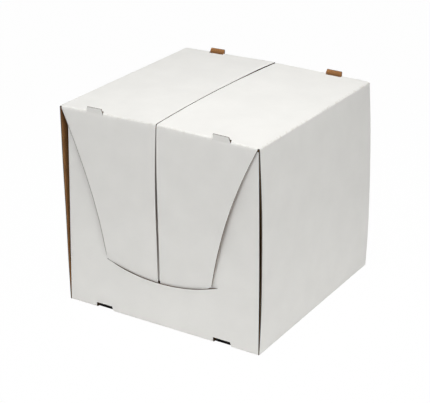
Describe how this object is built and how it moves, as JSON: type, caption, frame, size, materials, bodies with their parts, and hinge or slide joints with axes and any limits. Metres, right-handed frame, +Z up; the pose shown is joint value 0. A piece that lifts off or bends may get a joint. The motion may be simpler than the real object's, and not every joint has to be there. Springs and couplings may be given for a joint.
{
  "type": "cake box",
  "caption": "Tall square folded-board cake box with a centre-seamed top, tongues tucked into an arc slit in each end wall, stacking tabs and foot notches.",
  "frame": {"origin": "middle of the base, on the surface that the box stands on", "axes": "+X to the right of the front wall, -Y out of the front wall, +Z up"},
  "size_m": [0.307, 0.302, 0.2896],
  "materials": {
    "board": "matt white-faced micro-flute board with brown kraft inside and raw edges"
  },
  "bodies": {
    "carton": {"carton": "board"},
    "front_left_tongue": {"front_left_tongue": "board"},
    "front_right_tongue": {"front_right_tongue": "board"},
    "rear_left_tongue": {"rear_left_tongue": "board"},
    "rear_right_tongue": {"rear_right_tongue": "board"}
  },
  "joints": [
    {"name": "front_left_tongue_crease", "type": "hinge", "parent": "carton", "child": "front_left_tongue", "pos_m": [-0.075, -0.151, 0.28323], "axis": [-0.9999, 0, -0.0169], "range_deg": [0, 90]},
    {"name": "front_right_tongue_crease", "type": "hinge", "parent": "carton", "child": "front_right_tongue", "pos_m": [0.075, -0.151, 0.28323], "axis": [-0.9999, 0, 0.0169], "range_deg": [0, 90]},
    {"name": "rear_left_tongue_crease", "type": "hinge", "parent": "carton", "child": "rear_left_tongue", "pos_m": [-0.075, 0.151, 0.28323], "axis": [0.9999, 0, 0.0169], "range_deg": [0, 90]},
    {"name": "rear_right_tongue_crease", "type": "hinge", "parent": "carton", "child": "rear_right_tongue", "pos_m": [0.075, 0.151, 0.28323], "axis": [0.9999, 0, -0.0169], "range_deg": [0, 90]}
  ]
}
